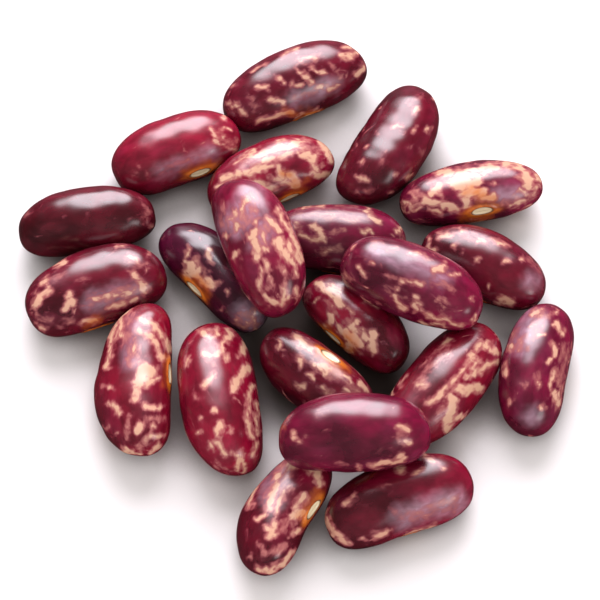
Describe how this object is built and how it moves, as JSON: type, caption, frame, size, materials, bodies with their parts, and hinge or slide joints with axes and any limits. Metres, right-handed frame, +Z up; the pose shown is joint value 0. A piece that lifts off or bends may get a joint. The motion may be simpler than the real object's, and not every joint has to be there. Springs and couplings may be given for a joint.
{
  "type": "heap of dried beans",
  "caption": "Loose heap of dried speckled kidney beans, tipped out on a flat surface, one layer deep with a few across the top.",
  "frame": {"origin": "on the ground under the middle of the heap's box", "axes": "+Z up, +Y towards the back of the heap, which is its longest way, and +X to the right as seen from the front"},
  "size_m": [0.062, 0.0668, 0.0139],
  "materials": {
    "bean_coat": "hard dry seed coat with a soft gloss, maroon and crimson with cream flecks"
  },
  "bodies": {
    "root": {"bean_heap": "bean_coat"}
  },
  "joints": []
}
